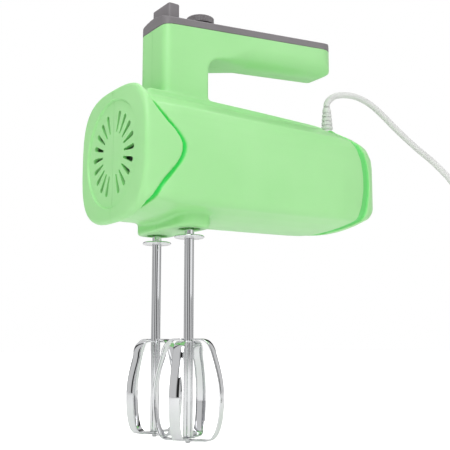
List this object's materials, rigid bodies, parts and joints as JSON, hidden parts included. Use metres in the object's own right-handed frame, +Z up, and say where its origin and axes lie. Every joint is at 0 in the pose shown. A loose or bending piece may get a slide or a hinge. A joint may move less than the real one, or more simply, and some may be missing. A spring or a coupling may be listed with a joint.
{
  "type": "hand mixer",
  "caption": "Electric hand mixer with a cantilevered grip over a rounded body, a slotted vent face, an eject button, a speed dial, ribbon beaters and a mains lead.",
  "frame": {"origin": "middle of the hand grip, where the mixer is held", "axes": "+Z up, -X towards the vented nose, +Y across the width; the beaters point down along -Z"},
  "size_m": [0.3984, 0.1418, 0.2886],
  "materials": {
    "mint_plastic": "satin moulded",
    "grey_plastic": "fine moulded",
    "black_plastic": "moulded",
    "white_nylon": "moulded",
    "polished_steel": "polished",
    "zinc_steel": "zinc plated",
    "core_steel": "pressed laminations",
    "copper": "enamelled",
    "bronze": "sintered",
    "carbon": "pressed graphite",
    "board": "lacquered",
    "white_rubber": "soft moulded"
  },
  "bodies": {
    "housing": {"left_housing": "mint_plastic", "right_housing": "mint_plastic", "housing_screw_1": "zinc_steel", "housing_screw_2": "zinc_steel", "housing_screw_3": "zinc_steel", "housing_screw_4": "zinc_steel", "housing_screw_5": "zinc_steel", "housing_screw_6": "zinc_steel", "handle_cover": "grey_plastic", "eject_spring": "zinc_steel", "speed_switch": "black_plastic", "circuit_board": "board", "stator_core": "core_steel", "lower_field_coil": "copper", "upper_field_coil": "copper", "front_bearing": "bronze", "middle_bearing": "bronze", "rear_bearing": "bronze", "rear_bracket": "zinc_steel", "left_carbon_brush": "carbon", "right_carbon_brush": "carbon", "left_brush_holder": "bronze", "right_brush_holder": "bronze", "left_brush_spring": "zinc_steel", "right_brush_spring": "zinc_steel", "gear_frame": "zinc_steel", "left_spindle_bush": "bronze", "right_spindle_bush": "bronze", "strain_relief": "white_rubber", "cord": "white_rubber", "cord_tail": "white_rubber", "cord_coil": "white_rubber", "cord_clamp": "black_plastic", "plug_body": "white_rubber", "left_plug_pin": "polished_steel", "right_plug_pin": "polished_steel"},
    "ejector": {"eject_button": "grey_plastic", "eject_fork": "white_nylon"},
    "dial": {"speed_dial": "grey_plastic", "dial_shaft": "white_nylon"},
    "rotor": {"rotor_shaft": "zinc_steel", "armature_core": "core_steel", "armature_winding": "copper", "commutator": "copper", "cooling_fan": "black_plastic"},
    "left_spindle": {"left_drive_gear": "white_nylon", "left_spindle_clip": "zinc_steel"},
    "right_spindle": {"right_drive_gear": "white_nylon", "right_spindle_clip": "zinc_steel"},
    "left_beater": {"left_beater_shaft": "polished_steel", "left_beater_collar": "polished_steel", "left_beater_outer_loop": "polished_steel", "left_beater_inner_loop": "polished_steel"},
    "right_beater": {"right_beater_shaft": "polished_steel", "right_beater_collar": "polished_steel", "right_beater_outer_loop": "polished_steel", "right_beater_inner_loop": "polished_steel"}
  },
  "joints": [
    {"name": "left_spindle_spin", "type": "hinge", "parent": "housing", "child": "left_spindle", "pos_m": [-0.0704, -0.02053, -0.09], "axis": [0, 0, 1], "continuous": true},
    {"name": "right_spindle_spin", "type": "hinge", "parent": "housing", "child": "right_spindle", "pos_m": [-0.0704, 0.02053, -0.09], "axis": [0, 0, 1], "continuous": true},
    {"name": "rotor_spin", "type": "hinge", "parent": "housing", "child": "rotor", "pos_m": [-0.017, 0, -0.09], "axis": [1, 0, 0], "continuous": true},
    {"name": "eject_press", "type": "slide", "parent": "housing", "child": "ejector", "axis": [0, 0, -1], "range_m": [0, 0.006], "stiffness_N_per_m": 350, "springref_m": -0.012, "deforming": ["eject_spring"]},
    {"name": "left_beater_release", "type": "slide", "parent": "left_spindle", "child": "left_beater", "axis": [0, 0, -1], "range_m": [0, 0.006]},
    {"name": "right_beater_release", "type": "slide", "parent": "right_spindle", "child": "right_beater", "axis": [0, 0, -1], "range_m": [0, 0.006]},
    {"name": "speed_dial_turn", "type": "hinge", "parent": "housing", "child": "dial", "pos_m": [-0.0495, 0, 0.012], "axis": [0, 0, 1], "range_deg": [0, 150]}
  ],
  "couplings": [
    {"joint": "right_spindle_spin", "follows": "left_spindle_spin", "ratio": -1},
    {"joint": "rotor_spin", "follows": "left_spindle_spin", "ratio": 12},
    {"joint": "left_beater_release", "follows": "eject_press", "ratio": 1},
    {"joint": "right_beater_release", "follows": "eject_press", "ratio": 1}
  ]
}
